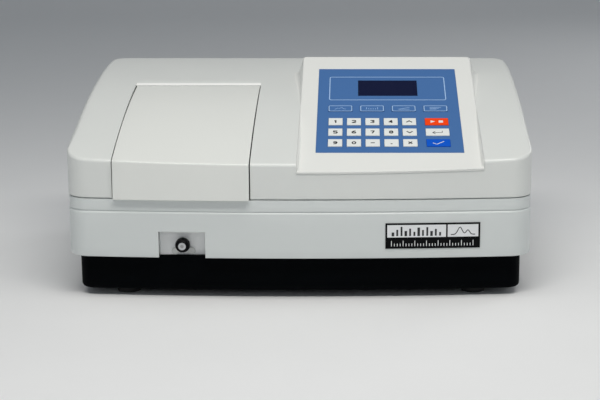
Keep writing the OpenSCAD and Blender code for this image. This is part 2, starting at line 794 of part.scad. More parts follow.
module source_lamps() color([0.85, 0.85, 0.8]) {
    translate([mirror_x + 50, source_y, deck_z + 3]) {
        cylinder(r = 13, h = 20);
        cylinder(r = 10, h = 60);
        translate([0, 0, 60]) sphere(r = 10);
    }
    translate([mirror_x, 128, deck_z + 3]) {
        cylinder(r = 9, h = 24);
        cylinder(r = 5.5, h = 42);
        translate([0, 0, 42]) sphere(r = 5.5);
    }
}

module lamp_mirror() color([0.8, 0.82, 0.85]) translate([mirror_x, source_y, 0]) {
    post(0, 0, 3, deck_z + 3.3, beam_z - 10);
    rotate([0, 0, -45]) translate([-9, -1.5, beam_z - 11]) cube([18, 3, 22]);
}

module detector_housing() color([0.1, 0.1, 0.1]) difference() {
    union() {
        box(-222, well_x0 - 1, beam_y - 20, beam_y + 20, deck_z, beam_z + 20);
        rod_x(beam_y, beam_z, 6, -222, -200);
    }
    rod_x(beam_y, beam_z, beam_r, -214, well_x0);
}

module main_board() color([0.08, 0.3, 0.16]) {
    box(-200, -35, 25, 148, 70, 71.6);
    for (x = [-194, -41], y = [31, 142]) post(x, y, 3, base_z + sheet, 70.5);
    box(-150, -120, 60, 90, 71, 74);
    box(-100, -84, 50, 74, 71, 74);
    box(-190, -182, 60, 120, 71, 80);
    box(-75, -50, 110, 140, 71, 84);
    for (y = [40 : 14 : 82]) post(-60, y, 5, 71, 84);
}

module power_supply() color([0.6, 0.61, 0.62]) {
    difference() {
        box(-178, -68, 48, 132, base_z + sheet, 50);
        box(-176, -70, 50, 130, base_z + sheet + 2, 48);
        for (x = [-168 : 10 : -78]) box(x, x + 4, 60, 120, 47, 51);
    }
    box(-150, -110, 70, 105, base_z + sheet + 1, 40);
}

base_pan();
rubber_feet();
case_screws();
lower_cover();
top_cover();
keypad_console();
keypad_overlay();
display_window();
display_module();
keypad_board();
sample_lid();
hinge_rod();
nameplate();
sample_well();
guide_screws();
cuvette_holder();
pull_rod();
rod_knob();
rear_panel();
power_inlet();
switch_frame();
switch_rocker();
data_port();
fan_frame();
fan_rotor();
fan_guard();
optical_bench();
monochromator();
grating_table();
stepper_motors();
filter_wheel();
fixed_optics();
lamp_house();
source_lamps();
lamp_mirror();
detector_housing();
main_board();
power_supply();
for (column = [0 : 5], row = [0 : 2])
    color(key_colour(GRID[column][row])) on_console() on_key(column * 3 + row) key();
for (i = [0 : 3])
    color([0.3, 0.47, 0.72]) on_console() on_function_key(i) key();
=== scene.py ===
"""Looks of the benchtop spectrophotometer. Shapes are written in millimetres and scaled to metres."""

import math

import bmesh
import bpy
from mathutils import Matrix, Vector


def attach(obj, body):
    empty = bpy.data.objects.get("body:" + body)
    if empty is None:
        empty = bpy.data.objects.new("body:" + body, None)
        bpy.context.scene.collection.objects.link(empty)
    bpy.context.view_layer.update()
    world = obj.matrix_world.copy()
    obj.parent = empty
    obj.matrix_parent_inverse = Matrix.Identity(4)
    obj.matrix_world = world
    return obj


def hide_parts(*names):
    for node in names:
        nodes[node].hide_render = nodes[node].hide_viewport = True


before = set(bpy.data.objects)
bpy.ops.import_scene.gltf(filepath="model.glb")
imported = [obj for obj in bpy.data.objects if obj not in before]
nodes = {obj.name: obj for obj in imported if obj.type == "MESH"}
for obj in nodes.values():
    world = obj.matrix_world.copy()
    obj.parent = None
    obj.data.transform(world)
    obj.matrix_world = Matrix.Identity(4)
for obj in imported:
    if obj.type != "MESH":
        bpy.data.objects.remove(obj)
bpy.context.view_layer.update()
MM = 0.001

# ---------------------------------------------------------------- sizes
HALF_W, FRONT, REAR, BOW = 240.0, -170.0, 170.0, 12.0
BOW_R = (HALF_W**2 + BOW**2) / (2 * BOW)
CROWN_R, CROWN_Y, CROWN_Z = 1054.0, 192.5, 208.0
LID_R, LID_Y, LID_Z = 820.0, 122.0, 198.5
SEAM, GROOVE, RIM = 107.0, 93.0, 45.0
WALL = 3.0
LID_X0, LID_X1, LID_GAP, LID_REAR, LID_BOTTOM = -190.0, -50.4, 1.1, 31.0, 106.4
HINGE_Y, HINGE_Z = 26.0, 184.2
LEDGE_SLOPE = 0.40
CON_X, CON_Y, CON_Z, CON_SLOPE, CON_LEN, CON_HALF = 93.3, -172.0, 136.0, math.radians(19.6), 255.5, 95.5
CON_C, CON_S = math.cos(CON_SLOPE), math.sin(CON_SLOPE)
FLANK_RUN, LIP_DEPTH = 0.3, 2.6
ROD_X, ROD_Z, GUIDE_Z, GUIDE_GAP = -120.5, 57.0, 49.0, 16.5
POCKET_X0, POCKET_X1, POCKET_TOP, POCKET_Y = -144.5, -96.5, 72.4, -152.6
WINDOW = (-190, -10, 160, 190, 56, 97)
FAN_X, FAN_Z, FAN_R = 150.0, 155.0, 28.0
BASE_FLOOR, BASE_INSET = 7.5, 10.0
FOOT_X, FOOT_Y, SCREW_X, SCREW_Y, HOLE_R = 182, 128, 208, 126, 2.2
VENT_COUNT, VENT_PITCH, VENT_W, VENT_Y0, VENT_Y1 = 14, 10, 3.2, 40, 100
KEY_U, KEY_PITCH_U, KEY_V, KEY_PITCH_V, WIDE_KEY_U = -56.9, 19.65, 58.3, 22.4, 51.1
FUNCTION_U, FUNCTION_PITCH, FUNCTION_V = -52, 34.35, 132.0
KEY_TOP = 0.5
INK_LOW, INK_HIGH = KEY_TOP - 0.05, KEY_TOP + 0.04
DIGIT_H, DIGIT_STROKE, DOT_SIZE = 4.8, 1.45, 0.9
PLATE_LOW, PLATE_MID, PLATE_INK, PLATE_HIGH = 0.78, 0.86, 0.84, 0.90


def front_y(x):
    return FRONT + BOW * (x / HALF_W) ** 2


def crown(y):
    return CROWN_Z - CROWN_R + math.sqrt(CROWN_R**2 - (y - CROWN_Y) ** 2)


def lid_top(y):
    return LID_Z - LID_R + math.sqrt(LID_R**2 - (y - LID_Y) ** 2)


def smoothstep(a, b, x):
    t = min(1.0, max(0.0, (x - a) / (b - a)))
    return t * t * (3 - 2 * t)


def on_console(u, v, n):
    """A point in the console's frame: u across, v up the slope, n out of the face."""
    return (CON_X + u, CON_Y + v * CON_C - n * CON_S, CON_Z + v * CON_S + n * CON_C)


# ---------------------------------------------------------------- mesh making
def make(name, verts, faces, body="housing", replaces=(), smooth=35.0):
    mesh = bpy.data.meshes.new(name)
    mesh.from_pydata([(x * MM, y * MM, z * MM) for x, y, z in verts], [], faces)
    mesh.validate()
    bm = bmesh.new()
    bm.from_mesh(mesh)
    bmesh.ops.remove_doubles(bm, verts=bm.verts, dist=1e-6)
    bmesh.ops.dissolve_degenerate(bm, edges=bm.edges, dist=1e-6)
    bmesh.ops.recalc_face_normals(bm, faces=bm.faces)
    bm.to_mesh(mesh)
    bm.free()
    obj = bpy.data.objects.new(name, mesh)
    bpy.context.scene.collection.objects.link(obj)
    shade(obj, smooth)
    if body:
        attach(obj, body)
    if replaces:
        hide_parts(*replaces)
    return obj


def shade(obj, angle):
    """Smooth faces, with every edge sharper than the angle kept crisp."""
    mesh = obj.data
    bm = bmesh.new()
    bm.from_mesh(mesh)
    for face in bm.faces:
        face.smooth = True
    for edge in bm.edges:
        edge.smooth = edge.is_manifold and edge.calc_face_angle(0) < math.radians(angle)
    bm.to_mesh(mesh)
    bm.free()


def rings(loops, cap_first=False, cap_last=False, close=False):
    """Joins loops of equal length into a skin; close joins the last loop to the first."""
    verts, faces = [], []
    n = len(loops[0])
    for loop in loops:
        verts.extend(loop)
    count = len(loops)
    for k in range(count if close else count - 1):
        a, b = k * n, ((k + 1) % count) * n
        for i in range(n):
            j = (i + 1) % n
            faces.append((a + i, a + j, b + j, b + i))
    if cap_first:
        faces.append(tuple(range(n - 1, -1, -1)))
    if cap_last:
        faces.append(tuple(range((count - 1) * n, count * n)))
    return verts, faces


def merged(*parts):
    verts, faces = [], []
    for v, f in parts:
        base = len(verts)
        verts += list(v)
        faces += [tuple(base + i for i in face) for face in f]
    return verts, faces


def block(x0, x1, y0, y1, z0, z1, place=lambda x, y, z: (x, y, z)):
    verts = [place(x, y, z) for x in (x0, x1) for y in (y0, y1) for z in (z0, z1)]
    faces = [(0, 1, 3, 2), (4, 6, 7, 5), (0, 4, 5, 1), (2, 3, 7, 6), (0, 2, 6, 4), (1, 5, 7, 3)]
    return verts, faces


def prism(outline, z0, z1, place=lambda x, y, z: (x, y, z)):
    return rings([[place(x, y, z) for x, y in outline] for z in (z0, z1)], True, True)


def circle(r, count=64, cx=0.0, cy=0.0):
    return [(cx + r * math.cos(2 * math.pi * i / count), cy + r * math.sin(2 * math.pi * i / count))
            for i in range(count)]


def rounded(x0, x1, y0, y1, r, steps=6):
    points = []
    for cx, cy, a in ((x1 - r, y1 - r, 0), (x0 + r, y1 - r, 90), (x0 + r, y0 + r, 180),
                      (x1 - r, y0 + r, 270)):
        for i in range(steps + 1):
            t = math.radians(a + 90 * i / steps)
            points.append((cx + r * math.cos(t), cy + r * math.sin(t)))
    return points


def carve(target, verts, faces):
    """Cuts a closed solid out of the target."""
    cutter = make("cutter", verts, faces, body=None)
    mod = target.modifiers.new("cut", "BOOLEAN")
    mod.operation = "DIFFERENCE"
    mod.solver = "EXACT"
    mod.object = cutter
    bpy.context.view_layer.update()
    graph = bpy.context.evaluated_depsgraph_get()
    result = bpy.data.meshes.new_from_object(target.evaluated_get(graph))
    target.modifiers.clear()
    old = target.data
    target.data = result
    bpy.data.meshes.remove(old)
    used = cutter.data
    bpy.data.objects.remove(cutter)
    bpy.data.meshes.remove(used)


def mend(obj):
    """Closes the hairline cracks that a cut can leave between points in one line."""
    bm = bmesh.new()
    bm.from_mesh(obj.data)
    bmesh.ops.dissolve_degenerate(bm, edges=bm.edges, dist=1e-7)
    bmesh.ops.holes_fill(bm, edges=[edge for edge in bm.edges if edge.is_boundary], sides=0)
    bmesh.ops.recalc_face_normals(bm, faces=bm.faces)
    bm.to_mesh(obj.data)
    bm.free()


# ---------------------------------------------------------------- plan outline of the covers
def plan_outline():
    rc, rr = 25.0, 20.0
    cx = HALF_W - rc
    cy = FRONT + BOW_R - math.sqrt((BOW_R - rc) ** 2 - cx * cx)
    a = math.degrees(math.asin(cx / (BOW_R - rc)))
    points = []

    def arc(px, py, r, a0, a1, n, first=0):
        for i in range(first, n + 1):
            t = math.radians(a0 + (a1 - a0) * i / n)
            points.append((px + r * math.cos(t), py + r * math.sin(t), math.cos(t), math.sin(t)))

    arc(0, FRONT + BOW_R, BOW_R, 270 - a, 270 + a, 72)
    arc(cx, cy, rc, 270 + a, 360, 14, 1)
    for i in range(1, 20):
        points.append((HALF_W, cy + (REAR - rr - cy) * i / 20, 1, 0))
    arc(HALF_W - rr, REAR - rr, rr, 0, 90, 14)
    for i in range(1, 30):
        points.append((HALF_W - rr - 2 * (HALF_W - rr) * i / 30, REAR, 0, 1))
    arc(rr - HALF_W, REAR - rr, rr, 90, 180, 14)
    for i in range(1, 20):
        points.append((-HALF_W, REAR - rr + (cy - REAR + rr) * i / 20, -1, 0))
    arc(-cx, cy, rc, 180, 270 - a, 14)
    return points[:-1]


OUTLINE = plan_outline()


def loop(inset, z):
    out = []
    for x, y, nx, ny in OUTLINE:
        d = inset(y) if callable(inset) else inset
        px, py = x - nx * d, y - ny * d
        out.append((px, py, z(px, py) if callable(z) else z))
    return out


def edge_r(y):
    """Radius of the rounding between the walls and the top: small in front, large behind."""
    return 3.0 + 3.5 * smoothstep(-150, -90, y) + 2.0 * smoothstep(100, 165, y)


def cover_z(x, y):
    """Height of the cover's outer surface, with the rounding of its front edge."""
    r = edge_r(y)
    d = y - front_y(x)
    drop = r - math.sqrt(max(0.0, r * r - (r - d) ** 2)) if 0 <= d < r else (r if d < 0 else 0.0)
    return crown(y) - drop


def dome(wall):
    """Loops of the cover's skin from its foot to the middle of its top, moved in by wall."""
    loops = []
    foot = SEAM + 0.4
    for z, d in ((foot, 0.35), (foot + 0.35, 0.05), (foot + 0.8, 0.0)) if wall == 0 else ((foot, 0.0),):
        loops.append(loop(wall + d, z))
    for k in range(1, 6):
        t = k / 6
        shoulder = lambda y: crown(y) - wall - edge_r(y)
        loops.append(loop(wall, lambda x, y, t=t: foot + 0.8 + (shoulder(y) - foot - 0.8) * t))
    for k in range(0, 11):
        a = math.radians(9 * k)
        ring = []
        for x, y, nx, ny in OUTLINE:
            r = max(2.0, edge_r(y) - wall)
            d = wall + r * (1 - math.cos(a))
            px, py = x - nx * d, y - ny * d
            ring.append((px, py, crown(py) - wall - r * (1 - math.sin(a))))
        loops.append(ring)
    last = loops[-1]
    for k in range(1, 26):
        t = 1 - k / 26
        ring = []
        for x, y, z in last:
            py = y * t
            ring.append((x * t, py, crown(py) - wall))
        loops.append(ring)
    return loops


def build_top_cover():
    inner = dome(WALL)
    inner.reverse()
    verts, faces = rings(inner + dome(0), True, True)
    cover = make("top_cover_shell", verts, faces, replaces=["top_cover"])
    # opening for the sample lid, with a leaning edge behind the lid
    edge_z = lid_top(LID_REAR) + 0.5
    side = [(-260, SEAM - 6), (LID_REAR + 0.9, SEAM - 6), (LID_REAR + 0.9, edge_z),
            (LID_REAR + 60.9, edge_z + 60 * LEDGE_SLOPE), (-260, edge_z + 60 * LEDGE_SLOPE)]
    x0, x1 = LID_X0 - LID_GAP, LID_X1 + LID_GAP
    verts, faces = rings([[(x, y, z) for y, z in side] for x in (x0, x1)], True, True)
    carve(cover, verts, faces)
    # opening for the console
    verts, faces = block(-CON_HALF - 0.05, CON_HALF + 0.05, -40, 150, -LIP_DEPTH, 60, on_console)
    carve(cover, verts, faces)
    verts, faces = block(-CON_HALF + 3, CON_HALF - 3, 100, 250, -60, 60, on_console)
    carve(cover, verts, faces)
    # fan opening
    ring = circle(FAN_R, 72, FAN_X, FAN_Z)
    verts, faces = rings([[(x, y, z) for x, z in ring] for y in (150, 190)], True, True)
    carve(cover, verts, faces)
    shade(cover, 32)
    return cover


def build_riser():
    """The leaning ledge behind the lid, thick enough to be seen edge-on."""
    y0, z0 = LID_REAR + 0.9, lid_top(LID_REAR) + 0.5
    run = 0.0
    while z0 + run * LEDGE_SLOPE < crown(y0 + run) - 0.02:
        run += 0.02
    top_y, top_z = y0 + run, z0 + run * LEDGE_SLOPE
    side = [(y0, z0 - 0.2), (y0 + 0.35, z0 + 0.25), (top_y - 0.1, top_z - 0.1),
            (top_y + 0.6, crown(top_y + 0.6) - 0.12), (top_y + 6, crown(top_y + 6) - 0.6),
            (top_y + 6, top_z - 4),
            (top_y + 1.5, top_z - 5), (y0 + 1.5, z0 - 1.2)]
    x0, x1 = LID_X0 - LID_GAP + 0.02, LID_X1 + LID_GAP - 0.02
    verts, faces = rings([[(x, y, z) for y, z in side] for x in (x0, x1)], True, True)
    return make("lid_opening_ledge", verts, faces)


# ---------------------------------------------------------------- lower cover and base
def build_lower_cover():
    profile = [(3.7, RIM + 3.2), (3.7, SEAM - 0.9), (1.1, SEAM - 0.9), (0.75, SEAM - 1.1), (0.6, SEAM - 1.6),
               (0.6, GROOVE + 3.4), (0.6, GROOVE + 1.3), (0.8, GROOVE + 1.0), (1.6, GROOVE + 0.9),
               (1.65, GROOVE + 0.7),
               (1.5, GROOVE + 0.5), (0.35, GROOVE - 0.85), (0.1, GROOVE - 1.2), (0.0, GROOVE - 1.7),
               (0.0, 80), (0.0, 66), (0.0, 54), (0.0, RIM + 0.9), (0.15, RIM + 0.35), (0.5, RIM), (11.5, RIM),
               (11.5, RIM + 2.5)]
    verts, faces = rings([loop(d, z) for d, z in profile], close=True)
    cover = make("lower_cover_shell", verts, faces, replaces=["lower_cover"])
    for args in ((POCKET_X0, POCKET_X1, -200, POCKET_Y - 0.4, 20, POCKET_TOP), WINDOW):
        carve(cover, *block(*args))
    shade(cover, 28)
    profile = [(3.4, SEAM - 6), (3.4, SEAM + 3), (4.8, SEAM + 3), (4.8, SEAM - 6)]
    inner = make("seam_tongue", *rings([loop(d, z) for d, z in profile], close=True))
    carve(inner, *block(LID_X0 - 1, LID_X1 + 1, -200, 0, SEAM - 2, 140))
    shade(inner, 30)
    # pocket liner: back plate, roof and cheeks of the finger pocket
    x0, x1, z1, y0, t = POCKET_X0, POCKET_X1, POCKET_TOP, POCKET_Y, 2.4
    holes = [(ROD_X, ROD_Z, 4.1), (ROD_X - GUIDE_GAP / 2, GUIDE_Z, HOLE_R),
             (ROD_X + GUIDE_GAP / 2, GUIDE_Z, HOLE_R)]
    plate = make("pocket_plate", *merged(block(x0 - t, x1 + t, y0, y0 + t, RIM - 0.2, z1 + t)))
    for cx, cz, r in holes:
        ring = circle(r, 48, cx, cz)
        carve(plate, *rings([[(x, y, z) for x, z in ring] for y in (y0 - 5, y0 + 8)], True, True))
    shade(plate, 30)
    cheeks = []
    for a, b, c, d in ((x0 - t, x0, RIM, z1 + t), (x1, x1 + t, RIM, z1 + t),
                       (x0 - 0.01, x1 + 0.01, z1, z1 + t)):
        cheeks.append(block(a, b, front_y(x0) + 1.0, y0 + 0.05, c, d))
    make("pocket_walls", *merged(*cheeks))
    return cover


def build_rod_end():
    """A thin dark disc on the end of the pull rod: painted shade for the rod end's flat face."""
    ring = circle(1.7, 32, ROD_X, ROD_Z)
    verts, faces = rings([[(x, y, z) for x, z in ring] for y in (-166.72, -166.6)], True, True)
    return make("pull_rod_shade_disc", verts, faces, body="carriage")


def build_base():
    floor, wall = BASE_FLOOR, BASE_INSET
    profile = [(13.5, floor), (12.2, floor + 0.35), (11.1, floor + 1.2), (10.4, floor + 2.4),
               (wall, floor + 4),
               (wall, 22), (wall, 34), (wall, RIM - 0.5), (10.3, RIM - 0.1), (18, RIM - 0.1), (18, RIM - 1.6),
               (12, RIM - 1.6), (12, floor + 4.5), (14.5, floor + 2)]
    verts, faces = rings([loop(d, z) for d, z in profile[::-1]], True, True)
    base = make("base_pan_shell", verts, faces, replaces=["base_pan"])
    for hole_x, hole_y in ((FOOT_X, FOOT_Y), (SCREW_X, SCREW_Y)):
        for sx in (-1, 1):
            for sy in (-1, 1):
                carve(base, *prism(circle(HOLE_R, 32, sx * hole_x, sy * hole_y), 0, 11))
    for k in range(VENT_COUNT):
        x = (k - (VENT_COUNT - 1) / 2) * VENT_PITCH
        carve(base, *prism(rounded(x - VENT_W / 2, x + VENT_W / 2, VENT_Y0, VENT_Y1, 1.5), 0, 11))
    shade(base, 30)
    return base


# ---------------------------------------------------------------- sample lid
def zipper(points, split, offset):
    """Triangles closing the end of a thin bent wall: its outer points come first, then its inner points."""
    outer, inner = list(range(split)), list(range(len(points) - 1, split - 1, -1))
    gap = lambda a, b: math.dist(points[a], points[b])
    i = j = 0
    faces = []
    while i < len(outer) - 1 or j < len(inner) - 1:
        if j == len(inner) - 1 or (i < len(outer) - 1 and gap(outer[i + 1], inner[j]) < gap(outer[i],
                                                                                            inner[j + 1])):
            faces.append((outer[i], outer[i + 1], inner[j]))
            i += 1
        else:
            faces.append((outer[i], inner[j + 1], inner[j]))
            j += 1
    return [tuple(offset + k for k in face) for face in faces]


def sweep_x(profile, split, x0, x1, soft, shift, steps=24):
    """Sweeps the closed side profile of a thin bent wall across X with softened ends."""
    n = len(profile)
    area = sum(profile[i][0] * profile[(i + 1) % n][1] - profile[(i + 1) % n][0] * profile[i][1]
               for i in range(n))
    turn = 1 if area > 0 else -1
    normals = []
    for i in range(n):
        a, b = profile[i - 1], profile[(i + 1) % n]
        dy, dz = b[0] - a[0], b[1] - a[1]
        size = math.hypot(dy, dz) or 1
        normals.append((turn * dz / size, -turn * dy / size))
    turns = [math.radians(d) for d in (0, 22, 45, 67, 90)]
    stations = [(x0 + soft * (1 - math.cos(t)), soft * (1 - math.sin(t))) for t in turns]
    stations += [(x0 + soft + (x1 - x0 - 2 * soft) * i / steps, 0.0) for i in range(1, steps)]
    stations += [(x0 + x1 - x, d) for x, d in reversed(stations[:5])]
    loops = []
    for x, d in stations:
        loops.append([shift(x, p[0] - q[0] * d, p[1] - q[1] * d) for p, q in zip(profile, normals)])
    verts, faces = rings(loops)
    return verts, faces + zipper(loops[0], split, 0) + zipper(loops[-1], split, n * (len(loops) - 1))


def build_lid():
    mid = FRONT - 2.6
    r = 1.7
    lean = 2.2
    foot = LID_BOTTOM + 0.35
    outer = [(mid - lean + 0.35, LID_BOTTOM), (mid - lean, foot)]
    top0 = lid_top(mid) - r
    outer += [(mid - lean * (1 - k / 8), foot + (top0 - foot) * k / 8) for k in range(1, 8)]
    for k in range(0, 9):
        a = math.radians(90 * k / 8)
        y = mid + r * (1 - math.cos(a))
        outer.append((y, lid_top(y) - r * (1 - math.sin(a))))
    y0 = mid + r
    outer += [(y, lid_top(y)) for y in (y0 + (LID_REAR - 0.7 - y0) * k / 40 for k in range(1, 41))]
    outer += [(LID_REAR - 0.2, lid_top(LID_REAR) - 0.2), (LID_REAR, lid_top(LID_REAR) - 0.7)]
    inner = [(LID_REAR, lid_top(LID_REAR) - 3)]
    inner += [(y, lid_top(y) - 3) for y in (LID_REAR - 1 - (LID_REAR - 1 - mid - 4) * k / 40
                                            for k in range(0, 41))]
    inner += [(mid + 3, lid_top(mid) - 5), (mid + 3, LID_BOTTOM + 1), (mid + 2.6, LID_BOTTOM)]
    bend = 26.0

    def follow(x, y, z):
        """The front flap follows the bow, and the top runs straight back from it."""
        w = 1 - smoothstep(mid + 4, mid + 4 + bend, y)
        shift = (front_y(x) - FRONT) * w
        return (x, y + shift, z + (lid_top(y + shift) - lid_top(y)) * (1 if z > top0 - 6 else 0))

    verts, faces = sweep_x(outer + inner, len(outer), LID_X0, LID_X1, 0.7, follow)
    ribs = []
    ys = [-155 + (14 + 155) * k / 20 for k in range(21)]
    for xa in (LID_X0 + 1.6, LID_X1 - 4.1):
        side = [(y, lid_top(y) - 2.5) for y in ys] + [(y, lid_top(y) - 11) for y in reversed(ys)]
        ribs.append(rings([[(x, y, z) for y, z in side] for x in (xa, xa + 2.5)], True, True))
    for xa in (LID_X0 + 12, LID_X1 - 18):
        barrel = [(4.5 * math.cos(t), 4.5 * math.sin(t)) for t in (2 * math.pi * i / 32 for i in range(32))]
        hole = [(2.06 * math.cos(t), 2.06 * math.sin(t)) for t in (2 * math.pi * i / 32 for i in range(32))]
        ribs.append(rings([[(x, HINGE_Y + a, HINGE_Z + b) for a, b in c]
                           for x, c in ((xa, barrel), (xa + 6, barrel), (xa + 6, hole), (xa, hole))],
                           close=True))
        web = [(HINGE_Y - 4, HINGE_Z + 2.5), (HINGE_Y + 4, HINGE_Z + 2.5),
               (HINGE_Y + 4, lid_top(HINGE_Y + 4) - 2.6),
               (HINGE_Y - 4, lid_top(HINGE_Y - 4) - 2.6)]
        ribs.append(rings([[(x, y, z) for y, z in web] for x in (xa, xa + 6)], True, True))
    lid = make("sample_lid_shell", verts, faces, body="lid", replaces=["sample_lid"], smooth=32)
    make("sample_lid_ribs", *merged(*ribs), body="lid")
    return lid


# ---------------------------------------------------------------- keypad console
def cover_n(u, v):
    """Distance from the console's face to the cover's surface, along the console's normal."""
    n = 0.0
    for _ in range(8):
        x, y, z = on_console(u, v, n)
        n += (cover_z(x, y) - z) / CON_C
    return n


def console_outline():
    """Points round the console: u, v, outward u, outward v, and whether it is the front lip."""
    half = CON_HALF
    points = []
    for i in range(49):
        u = -half + 2 * half * i / 48
        v = (front_y(CON_X + u) - 1.6 - CON_Y) / CON_C
        points.append((u, v, 0.0, -1.0, True))
    v0 = (front_y(CON_X + half) + 0.5 - CON_Y) / CON_C
    r = 3.5
    vs = [v0 + (CON_LEN - r - v0) * (i / 60) for i in range(60)]
    for v in vs:
        points.append((half, v, 1.0, 0.0, False))
    for i in range(9):
        t = math.radians(90 * i / 8)
        points.append((half - r + r * math.cos(t), CON_LEN - r + r * math.sin(t), math.cos(t), math.sin(t),
                       False))
    for i in range(9):
        t = math.radians(90 + 90 * i / 8)
        points.append((-half + r + r * math.cos(t), CON_LEN - r + r * math.sin(t), math.cos(t), math.sin(t),
                       False))
    v0 = (front_y(CON_X - half) + 0.5 - CON_Y) / CON_C
    vs = [v0 + (CON_LEN - r - v0) * (i / 60) for i in range(60)]
    for v in reversed(vs):
        points.append((-half, v, -1.0, 0.0, False))
    return points


def build_console():
    """The console's rim, lip and flanks, swept round its outline, with the recess for the film cut in."""
    sections = []
    for u, v, nu, nv, lip in console_outline():
        if lip:
            corner, end, w = (0.0, 0.0), (0.0, -LIP_DEPTH), 0.9
            hidden = [(-0.05, -LIP_DEPTH), (-3.0, -LIP_DEPTH)]
        else:
            dn = cover_n(u, v)
            for _ in range(4):
                out = FLANK_RUN * max(0.0, -dn)
                dn = cover_n(u + nu * out, v + nv * out)
            out = FLANK_RUN * max(0.0, -dn)
            corner = (-0.35 * max(0.0, dn), 0.0)
            end = (out, dn + (0.0 if dn < 0 else 0.02))
            w = min(1.4, 0.45 * abs(dn) + 0.02)
            if dn < 0:
                hidden = [(out - 0.5, dn - 3.0), (out - 3.0, dn - 3.0)]
                soft = min(5.0, 0.35 * -dn)
                foot = out + soft
            else:
                hidden = [(0.0, -LIP_DEPTH), (-2.9, -LIP_DEPTH)]
        fx, fn = end[0] - corner[0], end[1] - corner[1]
        size = math.hypot(fx, fn) or 1.0
        a = (corner[0] - w, corner[1])
        b = (corner[0] + fx / size * w, corner[1] + fn / size * w)
        path = [(corner[0] - w - 1.0, 0.0)]
        for k in range(7):
            t = k / 6
            path.append(tuple((1 - t) ** 2 * a[i] + 2 * t * (1 - t) * corner[i] + t * t * b[i]
                              for i in (0, 1)))
        if not lip and dn < 0:
            high = (end[0] - fx / size * soft, end[1] - fn / size * soft)
            far = (foot, cover_n(u + nu * foot, v + nv * foot) - 0.04)
            path += [tuple((1 - t) ** 2 * high[i] + 2 * t * (1 - t) * end[i] + t * t * far[i] for i in (0, 1))
                     for t in (k / 7 for k in range(8))]
        else:
            path += [tuple((1 - t) * b[i] + t * end[i] for i in (0, 1))
                     for t in ((k + 1) / 8 for k in range(8))]
        path += hidden
        path.append((-3.2, -LIP_DEPTH))
        sections.append([on_console(u + nu * o, v + nv * o, n) for o, n in path])
    loops = [[s[k] for s in sections] for k in range(len(sections[0]))]
    verts, faces = rings(loops, True, True)
    console = make("keypad_console_shell", verts, faces, replaces=["keypad_console"], smooth=30)
    carve(console, *block(-77.0, 77.0, 38.55, 224.65, -0.6, 5, on_console))
    carve(console, *block(-71.0, 71.0, 47, 218, -20, 5, on_console))
    mend(console)
    shade(console, 30)
    return console


# ---------------------------------------------------------------- printing on the keypad
def band(outer, inner, n0, n1, place=on_console):
    """A flat closed band between two outlines of equal length."""
    sections = ((outer, n0), (outer, n1), (inner, n1), (inner, n0))
    return rings([[place(x, y, n) for x, y in outline] for outline, n in sections], close=True)


def ring_strip(u0, u1, v0, v1, r, width, n0, n1):
    outer = rounded(u0, u1, v0, v1, r)
    inner = rounded(u0 + width, u1 - width, v0 + width, v1 - width, max(0.05, r - width))
    return band(outer, inner, n0, n1)


def stroke(points, width, n0, n1, place=on_console):
    """A line of constant width along a path of points, as a closed slab."""
    left, right = [], []
    loop_ = points[0] == points[-1]
    if loop_:
        points = points[:-1]
    elif len(points) == 2:
        (ax, ay), (bx, by) = points
        reach = 0.3 * width / (math.hypot(bx - ax, by - ay) or 1)
        points = [(ax - (bx - ax) * reach, ay - (by - ay) * reach),
                  (bx + (bx - ax) * reach, by + (by - ay) * reach)]
    for i, (x, y) in enumerate(points):
        a = points[i - 1] if loop_ else points[max(0, i - 1)]
        b = points[(i + 1) % len(points)] if loop_ else points[min(len(points) - 1, i + 1)]
        dx, dy = b[0] - a[0], b[1] - a[1]
        size = math.hypot(dx, dy) or 1
        left.append((x - dy / size * width / 2, y + dx / size * width / 2))
        right.append((x + dy / size * width / 2, y - dx / size * width / 2))
    if loop_:
        return band(left, right, n0, n1, place)
    outline = left + right[::-1]
    return rings([[place(x, y, n) for x, y in outline] for n in (n0, n1)], True, True)


